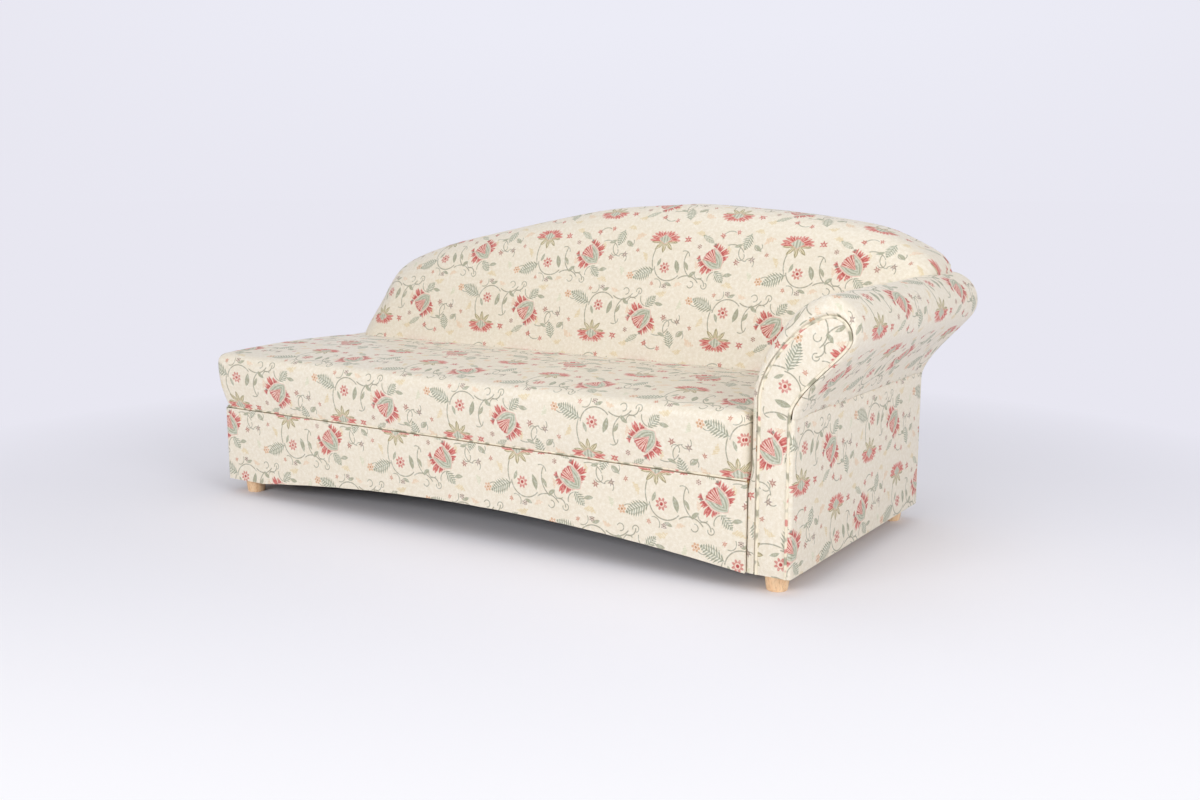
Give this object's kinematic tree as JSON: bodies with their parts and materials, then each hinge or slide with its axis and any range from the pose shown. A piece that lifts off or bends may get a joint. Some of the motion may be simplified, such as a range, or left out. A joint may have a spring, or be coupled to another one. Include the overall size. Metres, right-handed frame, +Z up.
{
  "type": "three-seat sofa",
  "caption": "Upholstered sofa with a rolled arm at its right-hand end only, a camel-shaped back that falls towards the open end, a separate seat slab and turned feet.",
  "frame": {"origin": "on the floor, under the middle of the sofa's bounding box", "axes": "+X along the sofa towards the arm, +Y towards the back, +Z up"},
  "size_m": [2.132, 0.896, 0.909],
  "materials": {
    "cloth": "woven upholstery cloth, cream with a floral pattern",
    "piping": "round piping covered in the same cloth",
    "beech": "beech, clear satin lacquer",
    "timber": "sawn softwood and plywood, untreated",
    "steel": "bright zinc plated steel",
    "lining": "thin black non-woven lining"
  },
  "bodies": {
    "root": {"base_front_rail": "timber", "base_rear_rail": "timber", "base_left_end_rail": "timber", "base_right_end_rail": "timber", "base_cross_rail_1": "timber", "base_cross_rail_2": "timber", "base_cross_rail_3": "timber", "corner_block_front": "timber", "corner_block_rear": "timber", "base_front_cover": "cloth", "base_left_cover": "cloth", "base_rear_cover": "cloth", "dust_cover": "lining", "foot_front_left": "beech", "foot_bolt_front_left": "steel", "foot_rear_left": "beech", "foot_bolt_rear_left": "steel", "foot_front_right": "beech", "foot_bolt_front_right": "steel", "foot_rear_right": "beech", "foot_bolt_rear_right": "steel", "seat_frame_front_rail": "timber", "seat_frame_rear_rail": "timber", "seat_frame_left_rail": "timber", "seat_frame_right_rail": "timber", "seat_frame_cross_rail_1": "timber", "seat_frame_cross_rail_2": "timber", "seat_screw_1": "steel", "seat_screw_2": "steel", "seat_springs": "steel", "seat_pad": "cloth", "arm_front_board": "timber", "arm_rear_board": "timber", "arm_inner_board": "timber", "arm_bottom_rail": "timber", "arm_top_rail": "timber", "arm_tip_rail": "timber", "arm_crease_rail": "timber", "arm_inner_rail": "timber", "arm_roll_sheet": "timber", "arm_bolt_1": "steel", "arm_bolt_2": "steel", "arm_pad": "cloth", "arm_outside_cover": "cloth", "arm_facing": "cloth", "arm_facing_piping": "piping", "arm_rear_cover": "cloth", "back_bottom_rail": "timber", "back_screw_1": "steel", "back_screw_2": "steel", "back_upright_1": "timber", "back_upright_2": "timber", "back_upright_3": "timber", "back_upright_4": "timber", "back_crest_rail": "timber", "back_lining": "lining", "back_pad": "cloth", "back_outside_cover": "cloth"}
  },
  "joints": []
}
